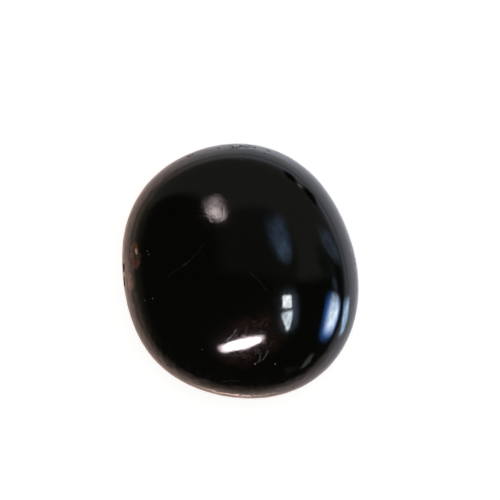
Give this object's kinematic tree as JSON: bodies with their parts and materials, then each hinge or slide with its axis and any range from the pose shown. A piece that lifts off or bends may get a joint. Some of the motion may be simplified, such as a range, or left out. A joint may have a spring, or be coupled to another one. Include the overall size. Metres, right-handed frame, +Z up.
{
  "type": "basalt massage stone",
  "caption": "Polished black basalt pebble, domed above and flattened below, held in the palm or laid on the body for hot-stone massage.",
  "frame": {"origin": "under the middle of the stone's box, level with the worn flat that it rests on", "axes": "+Z up, away from the resting flat; +Y along the stone's length; +X across it"},
  "size_m": [0.0595, 0.0658, 0.027],
  "materials": {
    "basalt": "polished to a gloss",
    "red_mineral": "polished flush with the basalt",
    "tan_mineral": "polished flush with the basalt"
  },
  "bodies": {
    "root": {"stone_body": "basalt", "red_grain": "red_mineral", "tan_grain": "tan_mineral"}
  },
  "joints": []
}
